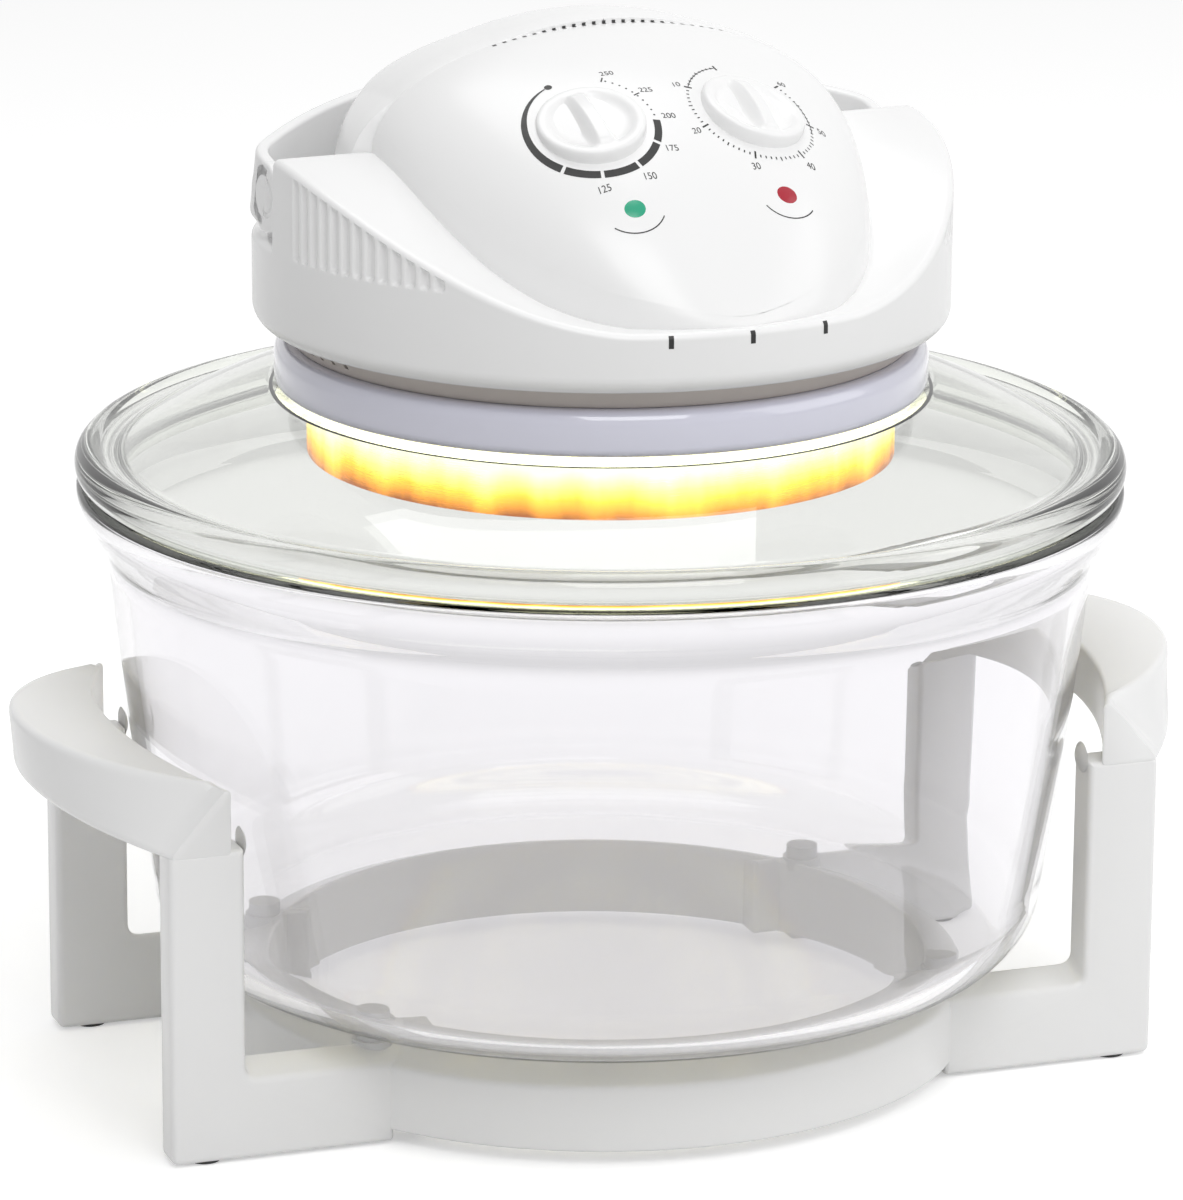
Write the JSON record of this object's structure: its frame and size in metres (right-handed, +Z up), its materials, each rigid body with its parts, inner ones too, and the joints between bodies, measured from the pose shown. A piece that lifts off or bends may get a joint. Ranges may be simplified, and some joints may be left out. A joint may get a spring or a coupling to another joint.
{
  "type": "halogen oven",
  "caption": "Countertop halogen oven: a deep glass bowl in a white stand, with a lift-off glass lid that carries a domed heater and fan head, two dials and a swinging carry handle.",
  "frame": {"origin": "on the table, under the middle of the bowl", "axes": "+Z up, +X along the stand's long side from one side grip to the other, -Y to the front of the stand; the lid and its head are turned 5 degrees about +Z"},
  "size_m": [0.387, 0.335, 0.3393],
  "materials": {
    "white_gloss": "high gloss, moulded",
    "white_soft": "satin",
    "foot_rubber": "matt",
    "clear_glass": "clear, polished",
    "silicone": "satin",
    "collar_white": "high gloss",
    "bright_steel": "polished",
    "plain_steel": "satin, pressed",
    "screw_steel": "plated",
    "fibre": "matt, pressed mineral fibre",
    "quartz": "clear",
    "tungsten": "drawn wire",
    "steatite": "matt",
    "guard_chrome": "plated wire",
    "shell_inner": "satin",
    "lamination": "varnished sheet",
    "copper": "enamelled winding",
    "control_case": "satin",
    "thermostat_metal": "satin",
    "green_lens": "clear tinted",
    "red_lens": "clear tinted",
    "neon": "clear",
    "black_plastic": "satin",
    "orange_plastic": "satin",
    "natural_nylon": "satin",
    "gland_grey": "satin"
  },
  "bodies": {
    "stand": {"stand_frame": "white_gloss", "bowl_rests": "white_soft", "side_stops": "white_soft", "stand_feet": "foot_rubber"},
    "bowl": {"glass_bowl": "clear_glass"},
    "fan_rotor": {"motor_rotor": "lamination", "fan_shaft": "plain_steel", "hot_air_fan": "bright_steel", "cooling_fan": "bright_steel", "fan_nut": "screw_steel"},
    "timer_dial": {"timer_spindle": "plain_steel", "timer_knob": "white_gloss"},
    "temperature_dial": {"thermostat_spindle": "plain_steel", "temperature_knob": "white_gloss"},
    "handle": {"carry_handle": "white_gloss", "handle_pins": "plain_steel", "interlock_lever": "white_soft"},
    "plunger": {"interlock_plunger": "orange_plastic"},
    "lid_head": {"glass_lid": "clear_glass", "upper_gasket": "silicone", "lower_gasket": "silicone", "lid_collar": "collar_white", "heater_shroud": "bright_steel", "insulation_pad": "fibre", "heat_shield": "plain_steel", "clamp_screws": "screw_steel", "halogen_lamp": "quartz", "lamp_filament": "tungsten", "lamp_caps": "steatite", "lamp_clips": "plain_steel", "heater_guard": "guard_chrome", "guard_clips": "plain_steel", "lower_housing": "shell_inner", "upper_housing": "white_gloss", "housing_screws": "screw_steel", "motor_stack": "lamination", "motor_coil": "copper", "motor_brackets": "plain_steel", "motor_screws": "screw_steel", "timer_unit": "control_case", "thermostat_unit": "thermostat_metal", "heat_lens": "green_lens", "power_lens": "red_lens", "indicator_lamps": "neon", "interlock_switch": "black_plastic", "thermal_fuse": "steatite", "terminal_block": "natural_nylon", "cord_gland": "gland_grey"}
  },
  "joints": [
    {"name": "bowl_lift", "type": "slide", "parent": "stand", "child": "bowl", "axis": [0, 0, 1], "range_m": [0, 0.12]},
    {"name": "head_lift", "type": "slide", "parent": "bowl", "child": "lid_head", "axis": [0, 0, 1], "range_m": [0, 0.08]},
    {"name": "handle_swing", "type": "hinge", "parent": "lid_head", "child": "handle", "pos_m": [-0.00148, 0.01693, 0.2865], "axis": [0.9962, 0.0872, 0], "range_deg": [0, 75]},
    {"name": "plunger_slide", "type": "slide", "parent": "lid_head", "child": "plunger", "axis": [0, 0, 1], "range_m": [0, 0.0122]},
    {"name": "fan_spin", "type": "hinge", "parent": "lid_head", "child": "fan_rotor", "pos_m": [0, 0, 0.25], "axis": [0, 0, 1], "continuous": true},
    {"name": "timer_turn", "type": "hinge", "parent": "lid_head", "child": "timer_dial", "pos_m": [0.03125, -0.04746, 0.314], "axis": [0.2242, -0.3733, 0.9002], "range_deg": [-300, 0]},
    {"name": "temperature_turn", "type": "hinge", "parent": "lid_head", "child": "temperature_dial", "pos_m": [-0.02254, -0.05216, 0.314], "axis": [-0.156, -0.4066, 0.9002], "range_deg": [-270, 0]}
  ],
  "couplings": [
    {"joint": "plunger_slide", "follows": "handle_swing", "m_per_rad": 0.0093}
  ]
}
